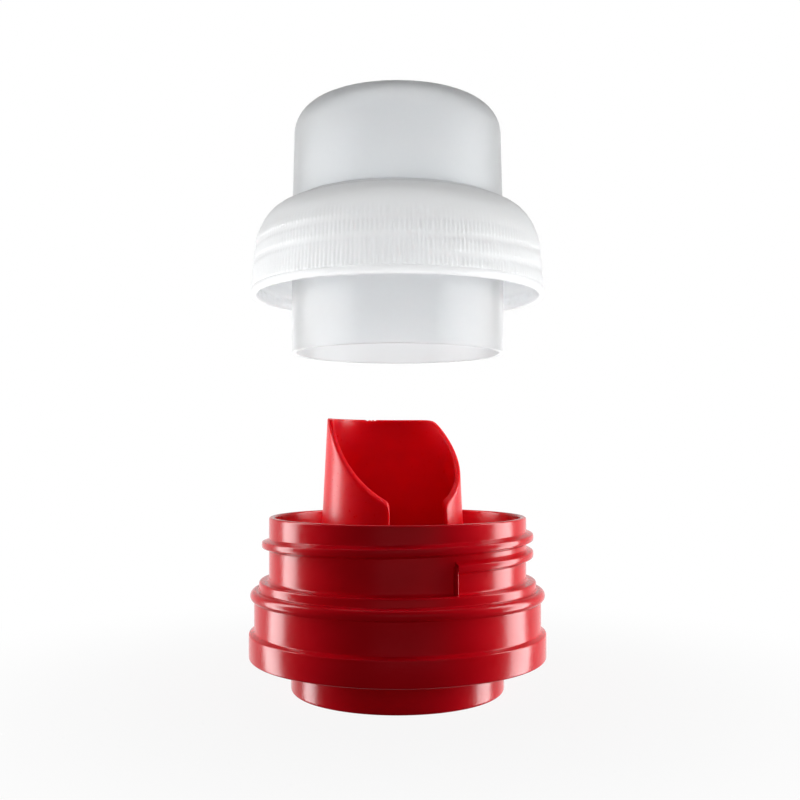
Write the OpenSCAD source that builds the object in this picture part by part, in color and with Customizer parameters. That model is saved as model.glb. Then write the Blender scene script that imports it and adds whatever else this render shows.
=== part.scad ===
// Pour fitment for a bottle's neck, and the dosing cap that screws onto it.
// Millimetres. +Z is up, along the axis of both mouldings. The origin is the centre of the
// fitment's lowest edge. The cap is drawn unscrewed and lifted off.

/* [Fitment] */
// Height from the plug's edge to the collar's rim
rim_z = 36.2; // [36.2:0.1:37.2]
// Outer radius of the threaded collar
collar_r = 26.85; // [26.7:0.05:26.95]
// Height of the collar above the shoulder
collar_h = 13.1; // [12.9:0.1:13.3]
// Outer radius of the shoulder's step
step_r = 28.9; // [28.8:0.05:28.95]
// Outer radius of the bead that the cap lands on
bead_r = 30.7; // [30.5:0.1:31]
// Outer radius of the skirt wall
skirt_r = 29.9; // [29.8:0.1:30.1]
// Outer radius of the band at the skirt's foot
band_r = 31; // [30.6:0.1:31.5]
// Inner radius of the skirt, over the bottle's neck
socket_r = 28.7; // [28.6:0.05:28.75]
// General wall thickness
wall = 1.2; // [1.1:0.05:1.25]

/* [Plug and drain well] */
// Outer radius of the plug that seals in the bottle's mouth
plug_r = 22.3; // [22.2:0.05:22.4]
// Inner radius of the drain well
well_r = 23; // [22.9:0.05:23.1]
// Height of the ledge at the foot of the well
ledge_z = 8.9; // [8.5:0.1:9]
// Slope of the drain floor, degrees
floor_slope = 6.5; // [4:0.5:7]

/* [Pour tongue] */
// Azimuth that the tongue's open side faces, degrees
pour_azimuth = -67; // [-90:1:90]
// Distance of the tongue's axis behind the collar's axis
tongue_back = 2.8; // [2:0.1:3]
// Outer radius of the tongue at its foot
tongue_r = 15; // [14.5:0.1:15.2]
// Outer radius of the tongue at its lip
lip_r = 13.84; // [13.5:0.02:14.2]
// Height of the lip above the collar's rim
lip_rise = 20.7; // [18:0.1:21.5]
// Wall of the tongue
tongue_wall = 1.1; // [1:0.05:1.3]
// Height above the rim at which the slanting cut crosses the tongue's axis
cut_mid = 16.2; // [14:0.1:17]
// Rise of the slanting cut per millimetre towards the back
cut_rise = 1.04; // [0.9:0.01:1.2]
// Half the angle that the drain slot takes out of the tongue, degrees
slot_half = 25; // [20:1:30]

/* [Thread] */
// Rise of the thread in one turn
pitch = 3.45; // [3.4:0.01:3.5]
// Crest radius of the collar's thread
neck_crest_r = 28.35; // [28:0.05:28.4]
// Crest radius of the cap's thread
cap_crest_r = 27.2; // [27.1:0.05:27.4]
// Turns of the collar's thread
neck_turns = 1.37; // [1.1:0.01:1.4]
// Turns of the cap's thread
cap_turns = 2.05; // [1.5:0.05:2.1]

/* [Dosing cap] */
// Gap between the collar's rim and the cup's rim with the cap lifted off
lift = 34; // [33:1:60]
// Height of the cap, from the cup's rim to the top of the dome
cap_h = 51.5; // [50.5:0.1:53]
// Outer radius of the cup at its rim
cup_r = 22.25; // [22.1:0.05:22.3]
// Outer radius of the cup where the shoulder joins it
cup_neck_r = 22; // [21.9:0.05:22]
// Outer radius of the dome below its rounded edge
dome_r = 21.6; // [21.4:0.1:21.8]
// Radius of the dome's rounded edge
dome_round = 6; // [4:0.5:8]
// Outer radius of the cap's skirt at its lip
lip_skirt_r = 30.5; // [30.4:0.05:30.8]
// Number of grip ribs
rib_count = 216; // [120:12:240]
// Number of lock teeth
tooth_count = 50; // [36:2:60]

/* [Hidden] */

$fn = 96;
red = [0.85, 0.02, 0.03];
milky = [0.93, 0.95, 0.97, 0.6];
hair = 0.004;                        // a gap too small to see, between faceted and true faces

shoulder_z = rim_z - collar_h;       // top face of the shoulder
flange_z = shoulder_z - wall;        // its underside
bead_z = rim_z - 16.1;               // middle of the bead
bead_half = 1.2;                     // half the bead's height
skirt_top_z = rim_z - 17.5;
band_top_z = rim_z - 23.9;
band_foot_z = rim_z - 29.1;
band_slope = 1.1;                    // height of the cone between wall and band
well_out_r = well_r + wall;
plug_in_r = plug_r - wall;
edge = 0.45;                         // rounding of free edges

barb_count = 6;                      // snap ribs under the bottle's bead
barb_angle = 24;
barb_depth = 0.8;
barb_z = rim_z - 24.6;

stop_azimuth = -66.4;                // where the collar's thread starts
stop_angle = 1.5;
stop_top_z = rim_z - 7.9;
neck_start_z = rim_z - 8.11;
neck_root_half = 1.2;                // half the ridge's height at its root and at its crest
neck_crest_half = 0.5;

slope_back = pour_azimuth + 180;     // azimuth of the high side of the floor
floor_thick = wall;
// Height at which the floor's top face crosses the tongue's axis; at the back it meets the ledge.
floor_mid_z = ledge_z - tan(floor_slope) * (plug_in_r - tongue_back);

cap_z = rim_z + lift;                // height of the cup's rim
skirt_foot = 11.7;                   // heights in the cap are from the cup's rim
lip_band_top = 13.2;                 // the smooth lip band outside, under the ribs
inner_step_z = 14.7;                 // the mouth's wider bore ends here
bore_knee_z = 22.8;                  // above this the bore leans in under the shoulder
skirt_in_r = 29.3;
joint_low = 28.6;                    // the cup is cylindrical where the shoulder joins it
joint_high = 31;
joint_top = 30.6;
cap_thread_top = 25.9;
cap_thread_azimuth = -79;            // where the cap's thread ends, at its top
cap_root_half = 0.9;
cap_crest_half = 0.45;
rib_depth = 0.22;
rib_low = 13.4;
rib_high = 23.2;
rib_foot_r = 30.3;                   // radius of the ribbed wall at its foot
rib_wall_lean = 0.093;               // what its radius loses per millimetre of height
tooth_low = 12.7;
tooth_high = 14;
tooth_depth = 0.22;
tooth_share = 0.45;                  // tooth width as a share of the tooth spacing

// Points along an arc, from angle a to angle b.
function arc(centre, r, a, b, steps = 6) =
    [for (i = [0:steps]) let (t = a + (b - a) * i / steps) centre + r * [cos(t), sin(t)]];

function rib_wall_r(z) = rib_foot_r - rib_wall_lean * (z - rib_low);

// Radius of the cap skirt's inner face at height z in the cap.
function skirt_inner_r(z) =
    z < inner_step_z ? skirt_in_r :
    z < bore_knee_z ? 28.95 - 0.35 * (z - inner_step_z) / (bore_knee_z - inner_step_z) :
    28.6 - 1.35 * (z - bore_knee_z) / (cap_thread_top - bore_knee_z);

module turned(points, angle = 360) rotate_extrude(angle = angle) polygon(points);

// A ridge that climbs pitch in each turn. side is 1 when it stands out and -1 when it stands in.
// root_r and crest_r are lists with one radius for each section.
module ridge(start_angle, start_z, steps_per_turn, root_r, crest_r, root_half, crest_half, side) {
    n = len(root_r) - 1;
    step = 360 / steps_per_turn;
    points = [
        for (i = [0:n])
            let (a = start_angle + i * step, z = start_z + pitch * i / steps_per_turn)
            for (p = [[root_r[i], -root_half], [crest_r[i], -crest_half],
                      [crest_r[i], crest_half], [root_r[i], root_half]])
                [p[0] * cos(a), p[0] * sin(a), z + p[1]]
    ];
    quads = [
        for (i = [0:n - 1], k = [0:3])
            let (a = 4 * i + k, b = 4 * i + (k + 1) % 4)
            side > 0 ? [a, a + 4, b + 4, b] : [b, b + 4, a + 4, a]
    ];
    ends = side > 0
        ? [[0, 1, 2, 3], [4 * n + 3, 4 * n + 2, 4 * n + 1, 4 * n]]
        : [[3, 2, 1, 0], [4 * n, 4 * n + 1, 4 * n + 2, 4 * n + 3]];
    polyhedron(points, concat(quads, ends));
}

// The half-space under the sloping plane that crosses the tongue's axis at height z.
module below_plane(z, rise, size = 160) {
    rotate([0, 0, slope_back])
        translate([tongue_back, 0, z])
            rotate([0, -atan(rise), 0])
                translate([-size / 2, -size / 2, -size])
                    cube(size);
}

module at_tongue() rotate([0, 0, slope_back]) translate([tongue_back, 0, 0]) children();

module tongue_solid(inset) {
    foot_z = -1;
    knee_z = rim_z - 2.1;
    at_tongue()
        turned([
            [0, foot_z], [tongue_r - inset, foot_z], [tongue_r - inset, knee_z],
            [lip_r - inset, rim_z + lip_rise], [lip_r - inset, rim_z + 2 * lip_rise],
            [0, rim_z + 2 * lip_rise]
        ]);
}

module neck_collar() {
    inner_r = collar_r - wall;
    color(red)
        turned(concat(
            [[inner_r, shoulder_z], [collar_r, shoulder_z]],
            arc([collar_r - edge, rim_z - edge], edge, 0, 90),
            arc([inner_r + edge, rim_z - edge], edge, 90, 180)
        ));
}

module neck_thread() {
    per_turn = 72;
    n = round(neck_turns * per_turn);
    root = collar_r / cos(180 / per_turn) + hair;
    fade = 5;                        // sections over which the upper end runs out
    color(red)
        ridge(stop_azimuth + stop_angle / 2 + 0.01, neck_start_z, per_turn,
              [for (i = [0:n]) root],
              [for (i = [0:n]) root + (neck_crest_r - root) * min(1, (n - i + 0.4) / fade)],
              neck_root_half, neck_crest_half, 1);
}

module thread_stop() {
    color(red)
        rotate([0, 0, stop_azimuth - stop_angle / 2])
            turned([[collar_r, shoulder_z], [neck_crest_r, shoulder_z],
                    [neck_crest_r, stop_top_z - 0.8], [collar_r, stop_top_z]], stop_angle);
}

module shoulder_bead() {
    color(red)
        turned(concat(
            [[well_r, flange_z], [well_r, shoulder_z]],
            arc([step_r - edge, shoulder_z - edge], edge, 90, 0),
            [[step_r, bead_z + bead_half]],
            arc([bead_r - bead_half, bead_z], bead_half, 84, -60, 12),
            [[skirt_r, skirt_top_z], [socket_r, skirt_top_z], [socket_r, flange_z]]
        ));
}

module outer_skirt() {
    color(red)
        turned(concat(
            [[socket_r, skirt_top_z], [skirt_r, skirt_top_z],
             [skirt_r, band_top_z + band_slope], [band_r, band_top_z]],
            arc([band_r - edge, band_foot_z + edge], edge, 0, -90),
            [[socket_r + 1, band_foot_z], [socket_r, band_foot_z + 2]]
        ));
}

module snap_ribs() {
    color(red)
        for (i = [0:barb_count - 1])
            rotate([0, 0, 360 * (i + 0.5) / barb_count - barb_angle / 2])
                turned([[socket_r, barb_z - 1.4], [socket_r, barb_z + 0.7],
                        [socket_r - barb_depth, barb_z + 0.3],
                        [socket_r - barb_depth, barb_z]], barb_angle);
}

module drain_well() {
    color(red)
        turned([[plug_in_r, ledge_z - wall], [well_out_r, ledge_z - wall], [well_out_r, flange_z],
                [well_r, flange_z], [well_r, ledge_z], [plug_in_r, ledge_z]]);
}

module drain_floor() {
    color(red)
        difference() {
            intersection() {
                translate([0, 0, 0.5]) cylinder(r = plug_in_r, h = ledge_z - 0.5);
                below_plane(floor_mid_z, tan(floor_slope));
            }
            below_plane(floor_mid_z - floor_thick, tan(floor_slope));
            tongue_solid(0);
        }
}

module pour_tongue() {
    slot_reach = 40;
    color(red)
        difference() {
            intersection() {
                tongue_solid(0);
                below_plane(rim_z + cut_mid, cut_rise);
                translate([0, 0, rim_z + lip_rise - 100]) cylinder(r = 60, h = 100);
            }
            tongue_solid(tongue_wall);
            below_plane(floor_mid_z - floor_thick, tan(floor_slope));
            at_tongue()
                translate([0, 0, -2])
                    linear_extrude(height = 100)
                        polygon([[0, 0], [-slot_reach, slot_reach * tan(slot_half)],
                                 [-slot_reach, -slot_reach * tan(slot_half)]]);
        }
}

module plug_seal() {
    round_r = 0.7;
    color(red)
        turned(concat(
            [[plug_in_r, ledge_z - wall], [plug_in_r, 0]],
            arc([plug_r - round_r, round_r], round_r, -90, 0),
            [[plug_r, ledge_z - wall]]
        ));
}

module measuring_cup() {
    knee = cap_h - dome_round;
    in_round = dome_round - wall;
    color(milky)
        translate([0, 0, cap_z])
            turned(concat(
                [[cup_r - wall + 0.25, 0], [cup_r - 0.3, 0], [cup_r, 0.3],
                 [cup_neck_r, joint_low], [cup_neck_r, joint_high], [dome_r, knee]],
                arc([dome_r - dome_round, knee], dome_round, 8, 90, 8),
                [[0, cap_h], [0, cap_h - wall]],
                arc([dome_r - dome_round, knee], in_round, 90, 8, 8),
                [[dome_r - wall, knee], [cup_neck_r - wall, joint_high],
                 [cup_neck_r - wall, joint_low], [cup_r - wall, 0.25]]
            ));
}

module cap_skirt() {
    color(milky)
        translate([0, 0, cap_z])
            turned([
                [skirt_in_r, skirt_foot], [lip_skirt_r - 0.3, skirt_foot],
                [lip_skirt_r, skirt_foot + 0.3], [lip_skirt_r, lip_band_top - 0.4],
                [rib_wall_r(lip_band_top), lip_band_top], [rib_wall_r(rib_high), rib_high],
                [29.05, 24.6], [28.4, 25.8], [27.35, 27.4], [25.9, 29.2],
                [24.3, 30.2], [cup_neck_r, joint_top],
                [cup_neck_r, joint_top - wall], [24, 29.1], [25.2, 28.2], [26.3, 27],
                [skirt_inner_r(cap_thread_top), cap_thread_top],
                [skirt_inner_r(bore_knee_z), bore_knee_z],
                [skirt_inner_r(inner_step_z + 0.3), inner_step_z + 0.3],
                [skirt_in_r, inner_step_z]
            ]);
}

module cap_thread() {
    per_turn = 72;
    n = round(cap_turns * per_turn);
    fade = 8;                        // sections over which each end runs out
    low = cap_thread_top - pitch * n / per_turn;
    function height(i) = low + pitch * i / per_turn;
    root = [for (i = [0:n]) skirt_inner_r(height(i) + cap_root_half) - hair];
    color(milky)
        translate([0, 0, cap_z])
            ridge(cap_thread_azimuth - 360 * n / per_turn, low, per_turn,
                  root,
                  [for (i = [0:n]) root[i] - max(0.12, root[i] - cap_crest_r)
                      * min(1, (i + 0.6) / fade, (n - i + 0.6) / fade)],
                  cap_root_half, cap_crest_half, -1);
}

module grip_ribs() {
    step = 360 / rib_count;
    taper = rib_wall_r(rib_high) / rib_wall_r(rib_low);
    inner = rib_wall_r(rib_low) / cos(step / 2) + hair;
    color(milky)
        translate([0, 0, cap_z + rib_low])
            linear_extrude(height = rib_high - rib_low, scale = taper)
                difference() {
                    polygon([
                        for (i = [0:rib_count - 1], k = [0:1])
                            let (a = step * (i + k / 2), r = inner + (k == 0 ? 0.06 : rib_depth))
                            r * [cos(a), sin(a)]
                    ]);
                    polygon([for (i = [0:rib_count - 1]) inner * [cos(step * i), sin(step * i)]]);
                }
}

module lock_teeth() {
    step = 360 / tooth_count;
    color(milky)
        translate([0, 0, cap_z])
            for (i = [0:tooth_count - 1])
                rotate([0, 0, i * step])
                    turned([[skirt_in_r - tooth_depth, tooth_low], [skirt_in_r, tooth_low],
                            [skirt_in_r, tooth_high], [skirt_in_r - tooth_depth, tooth_high - 0.3]],
                           step * tooth_share);
}

neck_collar();
neck_thread();
thread_stop();
shoulder_bead();
outer_skirt();
snap_ribs();
drain_well();
drain_floor();
pour_tongue();
plug_seal();
measuring_cup();
cap_skirt();
cap_thread();
grip_ribs();
lock_teeth();
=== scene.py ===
"""Looks of a bottle's pour spout with its dosing cap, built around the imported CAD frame.

Lengths in the code are millimetres, and MM turns them into metres. Azimuths are in degrees from +X
towards +Y, and heights are in the row frame, unless a name or comment says otherwise.
"""

import math

import bpy
import numpy as np
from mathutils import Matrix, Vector


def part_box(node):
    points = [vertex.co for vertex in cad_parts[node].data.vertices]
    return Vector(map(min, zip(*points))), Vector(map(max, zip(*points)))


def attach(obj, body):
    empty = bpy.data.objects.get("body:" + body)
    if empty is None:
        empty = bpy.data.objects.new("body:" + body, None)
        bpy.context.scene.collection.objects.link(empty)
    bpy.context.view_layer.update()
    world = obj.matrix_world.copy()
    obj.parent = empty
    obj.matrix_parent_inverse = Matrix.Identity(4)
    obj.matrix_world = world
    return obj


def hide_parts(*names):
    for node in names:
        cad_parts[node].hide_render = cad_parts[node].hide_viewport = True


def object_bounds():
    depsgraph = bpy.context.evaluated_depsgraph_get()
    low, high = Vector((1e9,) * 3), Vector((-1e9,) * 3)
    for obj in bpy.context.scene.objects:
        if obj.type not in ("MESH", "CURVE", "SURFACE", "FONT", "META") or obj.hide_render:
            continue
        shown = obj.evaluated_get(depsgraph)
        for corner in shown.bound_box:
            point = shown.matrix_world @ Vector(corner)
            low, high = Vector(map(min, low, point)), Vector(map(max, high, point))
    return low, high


MM = 0.001

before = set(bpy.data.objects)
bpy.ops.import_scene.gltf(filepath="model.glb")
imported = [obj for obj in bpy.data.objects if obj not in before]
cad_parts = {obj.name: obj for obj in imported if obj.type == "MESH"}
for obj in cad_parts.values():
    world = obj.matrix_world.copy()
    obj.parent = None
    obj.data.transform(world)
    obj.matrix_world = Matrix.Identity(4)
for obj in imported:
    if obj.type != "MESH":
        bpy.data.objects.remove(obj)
cad_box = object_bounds()


# ---------------------------------------------------------------- sizes read from the frame


def foot(node):
    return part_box(node)[0].z / MM


def top(node):
    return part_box(node)[1].z / MM


def radius(node):
    low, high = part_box(node)
    return (high.x - low.x) / 2 / MM


RIM = top("neck_collar")
SHOULDER = foot("neck_collar")
COLLAR_R = radius("neck_collar")
THREAD_R = radius("neck_thread")
FLANGE = top("drain_well")
BEAD_R = radius("shoulder_bead")
SKIRT_TOP = top("outer_skirt")
BAND_R = radius("outer_skirt")
BAND_FOOT = foot("outer_skirt")
WELL_OUT_R = radius("drain_well")
LEDGE_UNDER = foot("drain_well")
PLUG_R = radius("plug_seal")
LIP = top("pour_tongue")
CUP_RIM = foot("measuring_cup")
CUP_TOP = top("measuring_cup")
CUP_R = radius("measuring_cup")

# Sizes that no node's box gives.
WALL = 1.2
STEP_R = 28.9
SKIRT_R = 29.9
SOCKET_R = 28.7
WELL_R = WELL_OUT_R - WALL
PLUG_IN_R = PLUG_R - WALL
PITCH = 3.45

POUR_AZIMUTH = -67.0
TONGUE_BACK = 2.8
TONGUE_R = 15.0
LIP_R = 13.84
TONGUE_WALL = 1.1
SLOT_HALF = 25.0


# ---------------------------------------------------------------- mesh tools

AROUND = 288  # sections of a turned piece


def arc(centre, r, start, end, steps=6):
    """Points along an arc about centre, from angle start to angle end."""
    angles = np.radians(np.linspace(start, end, steps + 1))
    return [(centre[0] + r * math.cos(t), centre[1] + r * math.sin(t)) for t in angles]


def smooth_step(x):
    x = np.clip(x, 0.0, 1.0)
    return x * x * (3 - 2 * x)


def add_mesh(name, verts, faces, sharp_angle=38.0):
    """A smooth-shaded object of these points, in millimetres, with its sharp edges marked."""
    mesh = bpy.data.meshes.new(name)
    mesh.from_pydata([tuple(v) for v in np.asarray(verts) * MM], [], faces)
    mesh.validate()
    mesh.shade_smooth()
    mesh.set_sharp_from_angle(angle=math.radians(sharp_angle))
    made = bpy.data.objects.new(name, mesh)
    bpy.context.scene.collection.objects.link(made)
    return made


def grid_mesh(name, grid, closed_around, sharp_angle=38.0):
    """A skin over grid[section][point]. Each section is a closed loop. The sections close up on
    each other, or the first and the last one are capped."""
    sections, loop = grid.shape[:2]
    faces = []
    for i in range(sections if closed_around else sections - 1):
        here, there = i * loop, (i + 1) % sections * loop
        for k in range(loop):
            after = (k + 1) % loop
            faces.append((here + k, there + k, there + after, here + after))
    if not closed_around:
        last = (sections - 1) * loop
        faces.append(tuple(range(loop)))
        faces.append(tuple(last + k for k in reversed(range(loop))))
    return add_mesh(name, grid.reshape(-1, 3), faces, sharp_angle)


def turn(points, azimuth):
    """Points (r, z) of a half plane, placed at an azimuth."""
    points = np.asarray(points, float)
    t = math.radians(azimuth)
    return np.stack(
        [points[:, 0] * math.cos(t), points[:, 0] * math.sin(t), points[:, 1]], 1
    )


def lathe(name, profile):
    """A closed outline (r, z), counter-clockwise, turned about Z."""
    azimuths = np.linspace(0, 360.0, AROUND, endpoint=False)
    return grid_mesh(name, np.array([turn(profile, a) for a in azimuths]), True)


def screw_ridge(name, start, turns, foot_z, section_at):
    """section_at(t) gives the ridge's closed outline (r, dz), with t from 0 to 1 along it."""
    steps_per_turn = 144
    count = int(turns * steps_per_turn)
    rows = []
    for i in range(count + 1):
        outline = np.asarray(section_at(i / count), float)
        outline[:, 1] += foot_z + PITCH * i / steps_per_turn
        rows.append(turn(outline, start + 360.0 * i / steps_per_turn))
    return grid_mesh(name, np.array(rows), False)


# ---------------------------------------------------------------- materials


def new_material(name):
    made = bpy.data.materials.new(name)
    made.use_nodes = True
    tree = made.node_tree
    shader = tree.nodes["Principled BSDF"]
    return made, tree, shader


def noise(tree, scale, detail, stretch=None):
    """A noise pattern in the object's own coordinates. stretch scales them along X, Y and Z."""
    place = tree.nodes.new("ShaderNodeTexCoord")
    found = tree.nodes.new("ShaderNodeTexNoise")
    found.inputs["Scale"].default_value = scale
    found.inputs["Detail"].default_value = detail
    if stretch:
        mapping = tree.nodes.new("ShaderNodeMapping")
        mapping.inputs["Scale"].default_value = stretch
        tree.links.new(place.outputs["Object"], mapping.inputs["Vector"])
        tree.links.new(mapping.outputs["Vector"], found.inputs["Vector"])
    else:
        tree.links.new(place.outputs["Object"], found.inputs["Vector"])
    return found.outputs["Fac"]


def map_range(tree, value, source, target, interpolation="LINEAR"):
    node = tree.nodes.new("ShaderNodeMapRange")
    node.interpolation_type = interpolation
    node.inputs["From Min"].default_value, node.inputs["From Max"].default_value = source
    node.inputs["To Min"].default_value, node.inputs["To Max"].default_value = target
    tree.links.new(value, node.inputs["Value"])
    return node.outputs["Result"]


def spread(tree, value, low, high):
    """A noise value, which lies about 0.5, spread over low to high."""
    return map_range(tree, value, (0.3, 0.7), (low, high))


def bumps(tree, *layers):
    """One normal out of (height pattern, depth in metres) layers."""
    normal = None
    for pattern, depth in layers:
        node = tree.nodes.new("ShaderNodeBump")
        node.inputs["Strength"].default_value = 1.0
        node.inputs["Distance"].default_value = depth
        tree.links.new(pattern, node.inputs["Height"])
        if normal is not None:
            tree.links.new(normal, node.inputs["Normal"])
        normal = node.outputs["Normal"]
    return normal


def blend_colours(tree, factor, first, second):
    node = tree.nodes.new("ShaderNodeMix")
    node.data_type = "RGBA"
    node.inputs["A"].default_value = (*first, 1)
    node.inputs["B"].default_value = (*second, 1)
    tree.links.new(factor, node.inputs["Factor"])
    return node.outputs["Result"]


def red_plastic(name, dark, light, roughness, glow):
    """Glossy pigmented polypropylene: a faint flow pattern, orange peel and fine dust-like grain.
    roughness is its range, and glow the share of light that goes into the wall, and some of it out
    on the other side."""
    made, tree, shader = new_material(name)
    flow = noise(tree, 60.0, detail=4.0, stretch=(1.0, 1.0, 2.5))
    colour = blend_colours(tree, spread(tree, flow, 0.0, 1.0), dark, light)
    tree.links.new(colour, shader.inputs["Base Color"])
    grain = noise(tree, 1400.0, detail=3.0)
    tree.links.new(spread(tree, grain, *roughness), shader.inputs["Roughness"])
    peel = noise(tree, 420.0, detail=1.0)
    tree.links.new(bumps(tree, (peel, 0.000012), (grain, 0.000003)), shader.inputs["Normal"])
    shader.inputs["IOR"].default_value = 1.5
    shader.inputs["Specular IOR Level"].default_value = 0.24
    shader.inputs["Subsurface Weight"].default_value = glow
    shader.inputs["Subsurface Radius"].default_value = (1.0, 0.05, 0.05)
    shader.inputs["Subsurface Scale"].default_value = 0.0014
    return made


def milky_plastic(name, clear):
    """Unpigmented polypropylene: hazy, cool white, with a faint cloudiness and moulding grain.
    clear is the share of light that goes straight through."""
    made, tree, shader = new_material(name)
    clouds = noise(tree, 90.0, detail=3.0, stretch=(1.0, 1.0, 2.0))
    dull, bright = (0.93, 0.96, 0.98), (0.95, 0.973, 0.99)
    colour = blend_colours(tree, spread(tree, clouds, 0.0, 1.0), dull, bright)
    tree.links.new(colour, shader.inputs["Base Color"])
    grain = noise(tree, 900.0, detail=1.0)
    tree.links.new(spread(tree, grain, 0.30, 0.34), shader.inputs["Roughness"])
    peel = noise(tree, 350.0, detail=1.0)
    tree.links.new(bumps(tree, (peel, 0.000010)), shader.inputs["Normal"])
    shader.inputs["IOR"].default_value = 1.46
    shader.inputs["Subsurface Weight"].default_value = 1.0
    shader.inputs["Subsurface Radius"].default_value = (1.0, 1.0, 1.0)
    shader.inputs["Subsurface Scale"].default_value = 0.0015
    shader.inputs["Transmission Weight"].default_value = clear
    return made


def pale_floor():
    """A pale matt floor that melts into the white backdrop farther out."""
    made, tree, shader = new_material("pale_floor")
    mottle = noise(tree, 12.0, detail=3.0)
    dull, bright = (0.93, 0.93, 0.93), (0.95, 0.95, 0.95)
    colour = blend_colours(tree, spread(tree, mottle, 0.0, 1.0), dull, bright)
    tree.links.new(colour, shader.inputs["Base Color"])
    shader.inputs["Roughness"].default_value = 0.7
    place = tree.nodes.new("ShaderNodeTexCoord")
    length = tree.nodes.new("ShaderNodeVectorMath")
    length.operation = "LENGTH"
    tree.links.new(place.outputs["Object"], length.inputs["Vector"])
    from_origin = length.outputs["Value"]
    fade = map_range(tree, from_origin, (0.03, 0.13), (0.92, 1.0), "SMOOTHSTEP")
    glow = tree.nodes.new("ShaderNodeEmission")
    blend = tree.nodes.new("ShaderNodeMixShader")
    tree.links.new(fade, blend.inputs["Fac"])
    tree.links.new(shader.outputs["BSDF"], blend.inputs[1])
    tree.links.new(glow.outputs["Emission"], blend.inputs[2])
    tree.links.new(blend.outputs["Shader"], tree.nodes["Material Output"].inputs["Surface"])
    return made


RED = red_plastic(
    "red_polypropylene", (0.53, 0.0006, 0.006), (0.59, 0.0015, 0.009), (0.17, 0.24), 0.0
)
# The tongue's copy of the red plastic. Its glow from subsurface scattering in the thin wall is
# real, but its base colour is lighter than the rest of the moulding: that is painted glow of the
# back-lit wall.
THIN_RED_PAINTED_GLOW = red_plastic(
    "thin_red_polypropylene_painted_glow", (0.68, 0.0006, 0.008), (0.74, 0.0015, 0.011), (0.27, 0.35), 1.0
)
MILKY = milky_plastic("milky_polypropylene", 0.75)
THICK_MILKY = milky_plastic("thick_milky_polypropylene", 0.45)


def finish_piece(piece, body, slot, material, *nodes):
    piece.data.materials.append(material)
    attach(piece, body)
    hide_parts(*nodes)
    return piece


def red_piece(piece, *nodes, material=RED):
    return finish_piece(piece, "fitment", "fitment_red", material, *nodes)


# ---------------------------------------------------------------- the red fitment


def collar():
    """The threaded wall, with a rounded rim and a fillet at its foot."""
    inner = COLLAR_R - WALL
    fillet = 0.6
    rim_round = 0.42
    sunk = SHOULDER - 0.5
    outline = (
        [(inner, sunk), (COLLAR_R + fillet, sunk), (COLLAR_R + fillet, SHOULDER)]
        + arc((COLLAR_R + fillet, SHOULDER + fillet), fillet, 270, 180, 8)
        + arc((COLLAR_R - rim_round, RIM - rim_round), rim_round, 0, 90)
        + arc((inner + rim_round, RIM - rim_round), rim_round, 90, 180)
    )
    return red_piece(lathe("collar_wall", outline), "neck_collar")


CROWN = 0.06  # how far a ridge's middle stands out past the edges of its crest


def ridge_outline(root_r, height, root_half, crest_half):
    """A ridge's closed outline (r, dz), with filleted flanks, a crowned crest and a sunk root."""
    root = root_r - 0.35
    flank = np.linspace(0, 1, 9)
    rise = height * smooth_step(flank)
    half = root_half + (crest_half - root_half) * flank
    lower = [(root_r + h, -w) for h, w in zip(rise, half)]
    upper = [(root_r + h, w) for h, w in zip(rise[::-1], half[::-1])]
    crown = [(root_r + height + CROWN, 0.0)]
    return [(root, -root_half)] + lower + crown + upper + [(root, root_half)]


STOP_AZIMUTH = -66.4
STOP_HALF = 0.75  # degrees
THREAD_START = RIM - 8.11
THREAD_TURNS = 1.37


def collar_thread():
    """One-start right-hand ridge, full at the stop and run out at its upper end."""
    height = THREAD_R - COLLAR_R - CROWN
    root_half, crest_half = 1.3, 0.5
    run_out = 0.05  # share of the thread's length

    def section(t):
        full = float(smooth_step(min(1.0, (1.0 - t) / run_out))) * 0.98 + 0.02
        foot_half = root_half * (0.6 + 0.4 * full)
        return ridge_outline(COLLAR_R, height * full, foot_half, crest_half * full)

    piece = screw_ridge("collar_thread", STOP_AZIMUTH, THREAD_TURNS, THREAD_START, section)
    return red_piece(piece, "neck_thread")


def thread_stop():
    """The upright rib between the thread's lower end and the shoulder, with a rounded crest."""
    top_z, foot_z = THREAD_START + 0.3, SHOULDER - 0.2
    height = THREAD_R - 0.3 - COLLAR_R
    root = COLLAR_R - 0.4
    sections = []
    for t in np.radians(np.linspace(-90, 90, 19)):
        crest = COLLAR_R + height * math.cos(t)
        outline = [
            (root, foot_z), (crest, foot_z), (crest, top_z - 0.5), (crest - 0.15, top_z - 0.15),
            (max(crest - 0.5, COLLAR_R - 0.3), top_z), (root, top_z),
        ]
        sections.append(turn(outline, STOP_AZIMUTH + STOP_HALF * math.sin(t)))
    return red_piece(grid_mesh("thread_stop_rib", np.array(sections), False), "thread_stop")


def shoulder():
    """Flange, its step with a rounded edge, and the round bead under it."""
    step_round, bead_round, hollow = 0.5, 1.2, 0.3
    bead_z = RIM - 16.1
    meets_bead = bead_z + bead_round + 0.25
    outline = (
        [(WELL_R, FLANGE), (SOCKET_R, FLANGE), (SOCKET_R, SKIRT_TOP), (SKIRT_R, SKIRT_TOP)]
        + [(SKIRT_R, bead_z - bead_round - 0.05)]
        + arc((SKIRT_R + 0.25, bead_z - bead_round), 0.25, 180, 120, 3)
        + arc((BEAD_R - bead_round, bead_z), bead_round, -55, 100, 18)
        + arc((STEP_R + hollow, meets_bead), hollow, 250, 180, 4)
        + arc((STEP_R - step_round, SHOULDER - step_round), step_round, 0, 90, 6)
        + [(WELL_R, SHOULDER)]
    )
    return red_piece(lathe("shoulder_and_bead", outline), "shoulder_bead")


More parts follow.
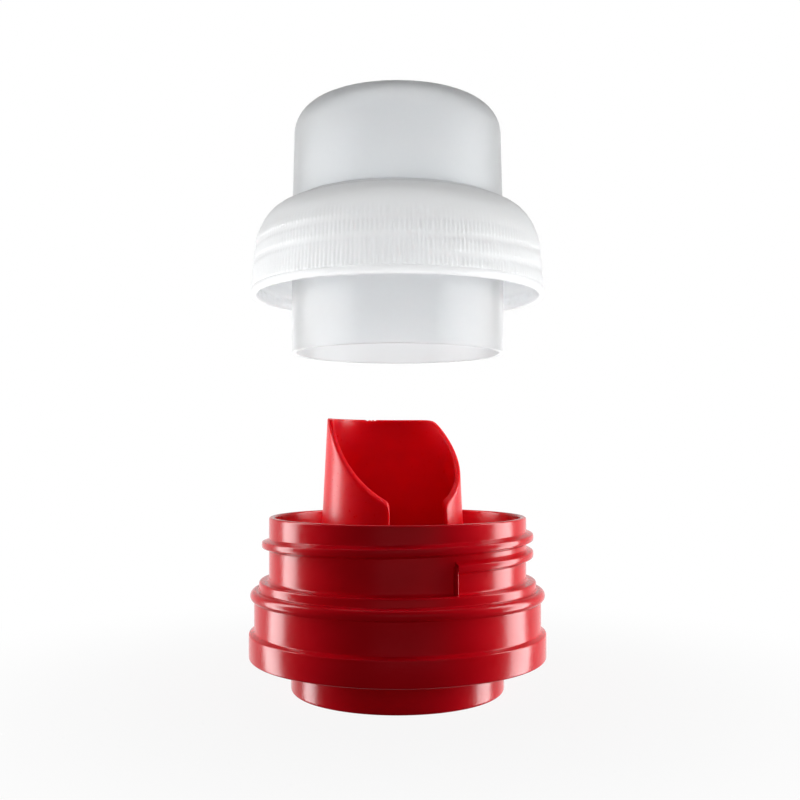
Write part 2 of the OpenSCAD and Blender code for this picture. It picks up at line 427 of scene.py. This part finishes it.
def skirt_and_band():
    """Outer wall, the slope down to the wider band, and the band's rounded foot."""
    band_top = RIM - 23.9
    foot_round, top_round, hollow = 0.45, 0.35, 0.3
    outline = (
        [(SOCKET_R, BAND_FOOT + 2.0), (SOCKET_R + 1.0, BAND_FOOT)]
        + arc((BAND_R - foot_round, BAND_FOOT + foot_round), foot_round, -90, 0)
        + arc((BAND_R - top_round, band_top - 0.2), top_round, 0, 65, 5)
        + arc((SKIRT_R + hollow, band_top + 0.7), hollow, 245, 180, 5)
        + [(SKIRT_R, SKIRT_TOP), (SOCKET_R, SKIRT_TOP)]
    )
    return red_piece(lathe("skirt_and_band", outline), "outer_skirt")


def snap_barbs():
    """Six ribs inside the skirt, for the bead of the bottle's neck."""
    z = RIM - 24.6
    depth, count, angle, steps = 0.8, 6, 24.0, 20
    outline = [
        (SOCKET_R + 0.3, z - 1.5), (SOCKET_R + 0.3, z + 0.8), (SOCKET_R, z + 0.7),
        (SOCKET_R - depth + 0.15, z + 0.35), (SOCKET_R - depth, z + 0.15),
        (SOCKET_R - depth + 0.05, z - 0.1), (SOCKET_R, z - 1.4),
    ][::-1]
    verts, faces = [], []
    loop = len(outline)
    for i in range(count):
        start = 360.0 * (i + 0.5) / count - angle / 2
        base = len(verts)
        for k in range(steps + 1):
            verts.extend(turn(outline, start + angle * k / steps))
        for k in range(steps):
            here, there = base + k * loop, base + (k + 1) * loop
            for j in range(loop):
                after = (j + 1) % loop
                faces.append((here + j, there + j, there + after, here + after))
        faces.append(tuple(base + j for j in range(loop)))
        faces.append(tuple(base + steps * loop + j for j in reversed(range(loop))))
    return red_piece(add_mesh("snap_barbs", verts, faces), "snap_ribs")


def well():
    """Wall of the drain well, with the ledge at its foot."""
    ledge = LEDGE_UNDER + WALL
    inner_round, bevel = 0.6, 0.4
    outline = (
        [(PLUG_IN_R, LEDGE_UNDER), (WELL_OUT_R - bevel, LEDGE_UNDER)]
        + [(WELL_OUT_R, LEDGE_UNDER + bevel)]
        + [(WELL_OUT_R, FLANGE), (WELL_R, FLANGE)]
        + arc((WELL_R - inner_round, ledge + inner_round), inner_round, 0, -90, 5)
        + [(PLUG_IN_R, ledge)]
    )
    return red_piece(lathe("well_wall", outline), "drain_well")


def plug():
    """The ring that seals in the bottle's mouth, rounded where it goes in."""
    corner = 0.7
    outline = (
        [(PLUG_IN_R, 0.35), (PLUG_IN_R + 0.25, 0.0)]
        + arc((PLUG_R - corner, corner), corner, -90, 0, 7)
        + [(PLUG_R, LEDGE_UNDER), (PLUG_IN_R, LEDGE_UNDER)]
    )
    return red_piece(lathe("plug_ring", outline), "plug_seal")


BACK = math.radians(POUR_AZIMUTH + 180.0)
TONGUE_AXIS = np.array([TONGUE_BACK * math.cos(BACK), TONGUE_BACK * math.sin(BACK)])
FLOOR_SLOPE = math.tan(math.radians(6.5))
FLOOR_MID = LEDGE_UNDER + WALL - FLOOR_SLOPE * (PLUG_IN_R - TONGUE_BACK)


def round_drop(distance, r):
    """How far an edge rounded by radius r has dropped at this distance from its end."""
    return r - math.sqrt(max(0.0, r**2 - max(0.0, r - distance) ** 2))


def floor_height(x, y):
    """Top face of the drain floor, which rises towards the back."""
    past_axis = x - TONGUE_AXIS[0], y - TONGUE_AXIS[1]
    towards_back = past_axis[0] * math.cos(BACK) + past_axis[1] * math.sin(BACK)
    return FLOOR_MID + FLOOR_SLOPE * towards_back


def drain_floor():
    """The sloping plate between the tongue and the plug ring, with a fillet at each of them."""
    around, across = 192, 14
    fillet, sunk = 0.8, 0.1
    verts = []
    for i in range(around):
        t = 2 * math.pi * i / around
        ray = np.array([math.cos(t), math.sin(t)])
        inner = TONGUE_AXIS + (TONGUE_R - sunk) * ray
        outer = (PLUG_IN_R + sunk) * ray
        width = float(np.linalg.norm(outer - inner))
        for k in range(across):
            share = smooth_step(k / (across - 1))
            x, y = inner + (outer - inner) * share
            edge = min(share, 1 - share) * width
            verts.append((x, y, floor_height(x, y) + round_drop(edge, fillet)))
        for x, y in (outer, inner):
            verts.append((x, y, floor_height(x, y) - WALL))
    grid = np.array(verts).reshape(around, across + 2, 3)
    return red_piece(grid_mesh("well_floor", grid[:, ::-1], True), "drain_floor")


def tongue_radius(z):
    """Outer radius: a cylinder up to just under the rim, and a taper from there to the lip."""
    knee = RIM - 2.1
    share = max(0.0, (z - knee) / (LIP - knee))
    return TONGUE_R + (LIP_R - TONGUE_R) * share


def cut_height(r, delta):
    """Height of the slanting cut at radius r, delta radians round from the back."""
    back, side = r * math.cos(delta), -r * math.sin(delta)
    return RIM + 16.43 + 1.036 * back - 0.095 * side - 0.008 * back * side


def lip_nicks(delta):
    """Depth of the small break-off marks that the moulding gate leaves in the lip."""
    marks = ((-5.0, 1.2, 0.28), (-1.5, 0.8, 0.38), (2.2, 1.3, 0.3), (4.6, 0.6, 0.2))
    angle = math.degrees(delta)
    return sum(depth * math.exp(-(((angle - at) / wide) ** 2)) for at, wide, depth in marks)


def rounded_corner(start, corner, end):
    """Points on a curve that leaves start, bends at corner and ends at end. start is left out."""
    start, corner, end = (np.asarray(p, float) for p in (start, corner, end))
    return [
        tuple((1 - t) ** 2 * start + 2 * t * (1 - t) * corner + t * t * end)
        for t in np.linspace(0, 1, 5)[1:]
    ]


def tongue():
    """The tapered tube, open at the slot and cut off at a slant, with rounded edges."""
    reach = math.radians(180.0 - SLOT_HALF)
    edge, corner, turn_over = 0.32, 0.9, 0.9
    rows_up = 36
    inner_columns = np.linspace(-reach, reach, 260)
    near_ends = edge / TONGUE_R * np.array([0.0, 0.08, 0.25, 0.5, 0.8])
    columns = np.unique(np.concatenate([inner_columns, -reach + near_ends, reach - near_ends]))
    sections = []
    for delta in columns:
        to_end = (reach - abs(delta)) * TONGUE_R
        inset, drop = round_drop(to_end, edge), round_drop(to_end, corner)
        azimuth = BACK + delta

        def height(r):
            above = cut_height(r, delta) - LIP
            z = LIP - (math.hypot(above, turn_over) - above) / 2 - drop
            return z - (lip_nicks(delta) if above > 1.0 else 0.0)

        z_out = height(tongue_radius(LIP if height(LIP_R) >= LIP - 1 else height(TONGUE_R)))
        r_out = tongue_radius(z_out) - inset
        r_in = tongue_radius(z_out) - TONGUE_WALL + inset
        z_in = height(r_in)
        foot_at = TONGUE_AXIS + TONGUE_R * np.array([math.cos(azimuth), math.sin(azimuth)])
        low = floor_height(*foot_at) - WALL
        top_out, top_in = np.array([r_out, z_out]), np.array([r_in, z_in])
        slant = (top_in - top_out) / (np.linalg.norm(top_in - top_out) + 1e-9)
        cut = min(edge, (r_out - r_in) * 0.42)
        outline = [
            (tongue_radius(z) - inset, z) for z in np.linspace(low, z_out - cut, rows_up)
        ]
        outline += rounded_corner((r_out, z_out - cut), top_out, top_out + slant * cut)
        outline += rounded_corner(top_in - slant * cut, top_in, (r_in, z_in - cut))
        outline += [
            (tongue_radius(z) - TONGUE_WALL + inset, z)
            for z in np.linspace(z_in - cut, low, rows_up)[1:]
        ]
        placed = turn(outline, math.degrees(azimuth))
        placed[:, :2] += TONGUE_AXIS
        sections.append(placed)
    piece = grid_mesh("tongue", np.array(sections), False)
    # Painted glow: the tongue gets a lighter red than the rest of the same moulding.
    return red_piece(piece, "pour_tongue", material=THIN_RED_PAINTED_GLOW)


# ---------------------------------------------------------------- the milky cap


def cup():
    """The measuring cup with its domed end. Its shell is closed, with poles on the axis."""
    neck_r, dome_r, round_r = 22.0, 21.6, 6.0
    knee = CUP_TOP - round_r
    shoulder_low, shoulder_high = CUP_RIM + 28.6, CUP_RIM + 31.0
    centre = (dome_r - round_r, knee)
    outer = (
        [(CUP_R - 0.35, CUP_RIM), (CUP_R - 0.12, CUP_RIM + 0.1), (CUP_R, CUP_RIM + 0.35)]
        + [(neck_r, shoulder_low), (neck_r, shoulder_high), (dome_r, knee)]
        + arc(centre, round_r, 4, 90, 14)
    )
    inner = (
        arc(centre, round_r - WALL, 90, 4, 12)
        + [(dome_r - WALL, knee), (neck_r - WALL, shoulder_high), (neck_r - WALL, shoulder_low)]
        + [(CUP_R - WALL, CUP_RIM + 0.35), (CUP_R - WALL + 0.12, CUP_RIM + 0.1)]
        + [(CUP_R - WALL + 0.35, CUP_RIM)]
    )
    around = AROUND
    t = np.arange(around) * 2 * math.pi / around
    verts = []
    for r, z in outer + inner:
        verts.extend(zip(r * np.cos(t), r * np.sin(t), np.full(around, z)))
    faces = []
    rings = len(outer) + len(inner)

    def band(a, b):
        for k in range(around):
            after = (k + 1) % around
            faces.append((a * around + k, a * around + after, b * around + after, b * around + k))

    for ring in range(rings - 1):
        if ring != len(outer) - 1:
            band(ring, ring + 1)
    band(rings - 1, 0)
    for ring, pole_z, up in ((len(outer) - 1, CUP_TOP, True), (len(outer), CUP_TOP - WALL, False)):
        pole = len(verts)
        verts.append((0.0, 0.0, pole_z))
        for k in range(around):
            a, b = ring * around + k, ring * around + (k + 1) % around
            faces.append((a, b, pole) if up else (b, a, pole))
    piece = add_mesh("cup_shell", verts, faces)
    return finish_piece(piece, "cup", "cap_milky", MILKY, "measuring_cup")


def cap_skirt():
    """Skirt and shoulder in one shell: ribs outside, the thread and lock teeth inside. Heights
    here are from the cup's rim. The ribs grow faint over the thread, as they do where the wall is
    thick."""
    rib_count, rib_depth = 216, 0.2
    tooth_count, tooth_depth = 50, 0.24
    rib_shape = np.array([0.0, 1.0, 1.0, 0.0])
    around = rib_count * len(rib_shape)
    neck_r = 21.9
    rib_foot, rib_top = 13.2, 24.6

    outer_path = (
        [(30.1, 11.7), (30.38, 11.78), (30.5, 12.05), (30.5, 13.0), (30.44, 13.15), (30.33, 13.25)]
        + [(30.3 - 0.093 * (z - 13.4), z) for z in np.linspace(13.4, 23.0, 33)]
        + [(29.2, 23.9), (28.93, 24.8), (28.55, 25.7), (28.0, 26.7), (27.3, 27.7), (26.4, 28.7)]
        + [(25.4, 29.45), (24.4, 29.98), (23.4, 30.35), (22.6, 30.6), (22.2, 30.85), (22.0, 31.1)]
        + [(neck_r, 31.15)]
    )
    inner_path = (
        [(neck_r, 29.2), (22.6, 29.25), (23.6, 29.0), (24.6, 28.5), (25.5, 27.85), (26.3, 27.1)]
        + [(26.95, 26.4)]
        + [(27.3 + 1.3 * smooth_step(s), 26.0 - 3.2 * s) for s in np.linspace(0, 1, 14)]
        + [(28.6 + 0.35 * s, 22.8 - 8.0 * s) for s in np.linspace(0.03, 1, 34)]
        + [(29.1, 14.55), (29.24, 14.35), (29.3, 14.1)]
        + [(29.3, z) for z in np.linspace(13.9, 12.5, 8)]
        + [(29.32, 12.2), (29.45, 11.85), (29.7, 11.7)]
    )
    path = np.array(outer_path + inner_path)
    is_outer = np.arange(len(path)) < len(outer_path)
    r, z = path[:, 0], path[:, 1]

    rib_zone = is_outer * smooth_step((z - rib_foot) / 0.25) * smooth_step((rib_top - z) / 1.6)
    tooth_zone = ~is_outer * smooth_step((z - 12.6) / 0.3) * smooth_step((14.1 - z) / 0.5)

    crest_r, root_half, crest_half = 27.2, 1.0, 0.45
    thread_top, thread_azimuth, turns = 25.9, -79.0, 2.05
    thread_low = thread_top - PITCH * turns
    run_out = 40.0  # degrees
    thread_zone = ~is_outer * (z < thread_top + root_half)
    laps = range(math.ceil(turns))
    grid = np.empty((around, len(path), 3))
    for column in range(around):
        azimuth = 360.0 * column / around
        first = thread_top + PITCH * ((azimuth - thread_azimuth) % 360.0 / 360.0 - 1.0)
        nearest = np.minimum.reduce([np.abs(z - first + PITCH * lap) for lap in laps])
        over_thread = 1.0 - smooth_step((nearest - 0.35) / 0.5)
        rib = rib_shape[column % len(rib_shape)] * (1.0 - 0.75 * over_thread)
        phase = (azimuth * tooth_count / 360.0) % 1.0
        tooth = smooth_step(min(phase, 1 - phase) * 5.0 - 0.6)
        place = r + rib_depth * rib_zone * rib - tooth_depth * tooth_zone * tooth
        for lap in laps:
            centre = first - PITCH * lap
            along = (centre - thread_low) / PITCH * 360.0
            to_end = min(along, turns * 360.0 - along)
            flank = smooth_step((root_half - np.abs(z - centre)) / (root_half - crest_half))
            depth = np.maximum(0.0, r - crest_r)
            place = place - thread_zone * smooth_step(to_end / run_out) * flank * depth
        grid[column] = turn(np.stack([place, z + CUP_RIM], 1), azimuth)
    piece = grid_mesh("cap_skirt_shell", grid, True, 60.0)
    return finish_piece(
        piece, "cap", "cap_milky", THICK_MILKY, "cap_skirt", "cap_thread", "grip_ribs", "lock_teeth"
    )


# ---------------------------------------------------------------- camera, floor and light


def studio_camera():
    """A level camera between the two mouldings, so that it looks down on one and up at the other.
    view_width is what it sees across at the object, and middle the height that it centres."""
    distance, height, aside = 205.0, 50.0, 0.5
    view_width, middle = 168.6, 60.6
    data = bpy.data.cameras.new("studio_camera")
    data.sensor_width = 36.0
    data.lens = data.sensor_width * distance / view_width
    data.shift_y = (middle - height) / view_width
    data.clip_start, data.clip_end = 0.01, 20.0
    made = bpy.data.objects.new("studio_camera", data)
    made.location = (aside * MM, -distance * MM, height * MM)
    made.rotation_euler = (math.radians(90), 0, 0)
    bpy.context.scene.collection.objects.link(made)
    bpy.context.scene.camera = made


def studio_floor():
    """The floor, a hair under the plug's edge, so that the two faces don't coincide."""
    half, level = 3.0, -0.00002
    mesh = bpy.data.meshes.new("studio_floor")
    corners = [(x * half, y * half, level) for x, y in ((-1, -1), (1, -1), (1, 1), (-1, 1))]
    mesh.from_pydata(corners, [], [(0, 1, 2, 3)])
    made = bpy.data.objects.new("studio_floor", mesh)
    mesh.materials.append(pale_floor())
    bpy.context.scene.collection.objects.link(made)
    made.visible_diffuse = False
    made.visible_glossy = False
    made.visible_transmission = False
    made.visible_shadow = False


def lit_together(name, pieces):
    """A collection of pieces that lights can be kept to."""
    made = bpy.data.collections.new(name)
    for piece in pieces:
        made.objects.link(piece)
    return made


def softbox(name, azimuth, elevation, distance, size, power, only_for):
    """An area light that faces the object. azimuth is 0 on the camera's side and 90 on its right,
    and distance and size are in metres. only_for, a collection, is all that it lights."""
    middle = Vector((0, 0, (cad_box[0].z + cad_box[1].z) / 2))
    a, e = math.radians(azimuth), math.radians(elevation)
    away = Vector((math.sin(a) * math.cos(e), -math.cos(a) * math.cos(e), math.sin(e)))
    data = bpy.data.lights.new(name, "AREA")
    data.shape = "RECTANGLE"
    data.size, data.size_y = size
    data.energy = power
    made = bpy.data.objects.new(name, data)
    made.location = middle + away * distance
    made.rotation_euler = (-away).to_track_quat("-Z", "Y").to_euler()
    bpy.context.scene.collection.objects.link(made)
    made.visible_camera = False
    made.light_linking.receiver_collection = only_for
    return made


def studio_world():
    """A dim room that grows white behind the object, less so above it. The backdrop that the
    camera sees is white."""
    world = bpy.data.worlds.new("studio_world")
    world.use_nodes = True
    tree = world.node_tree
    background = tree.nodes["Background"]
    place = tree.nodes.new("ShaderNodeTexCoord")
    split = tree.nodes.new("ShaderNodeSeparateXYZ")
    tree.links.new(place.outputs["Generated"], split.inputs["Vector"])
    to_back = map_range(tree, split.outputs["Y"], (0.3, 0.95), (0.03, 1.0), "SMOOTHSTEP")
    dim_above = map_range(tree, split.outputs["Z"], (0.0, 0.6), (1.0, 0.4))
    both = tree.nodes.new("ShaderNodeMath")
    both.operation = "MULTIPLY"
    tree.links.new(to_back, both.inputs[0])
    tree.links.new(dim_above, both.inputs[1])
    path = tree.nodes.new("ShaderNodeLightPath")
    pick = tree.nodes.new("ShaderNodeMix")
    pick.inputs["B"].default_value = 1.0
    tree.links.new(path.outputs["Is Camera Ray"], pick.inputs["Factor"])
    tree.links.new(both.outputs["Value"], pick.inputs["A"])
    tree.links.new(pick.outputs["Result"], background.inputs["Strength"])
    background.inputs["Color"].default_value = (1.0, 1.0, 1.0, 1)
    bpy.context.scene.world = world


studio_camera()
studio_floor()
studio_world()
bpy.context.scene.view_settings.view_transform = "Standard"

red = [
    collar(), collar_thread(), thread_stop(), shoulder(), skirt_and_band(), snap_barbs(),
    well(), drain_floor(), tongue(), plug(),
]
milky = [cup(), cap_skirt()]

for_red = lit_together("red_pieces", red)
for_cap = lit_together("cap_pieces", milky)
softbox("left_strip", -106, 5, 0.55, (0.2, 0.8), 5.4, for_red)
softbox("right_strip", 103, 5, 0.55, (0.24, 0.8), 6.6, for_red)
softbox("top_softbox", 180, 70, 0.8, (0.7, 0.7), 1.4, for_red)
front_fill = softbox("front_fill", 10, 8, 0.9, (1.0, 0.6), 2.1, for_red)
front_fill.visible_glossy = False
softbox("cap_left", -84, -15, 0.6, (0.8, 0.8), 7.2, for_cap)
softbox("cap_right", 84, -15, 0.6, (0.8, 0.8), 7.2, for_cap)
softbox("cap_back", 180, -20, 0.8, (1.6, 0.92), 4.0, for_cap)
softbox("cap_top", 0, 65, 0.8, (0.9, 0.9), 3.8, for_cap)
softbox("cap_fill", 0, -35, 0.9, (0.9, 0.9), 6.6, for_cap)
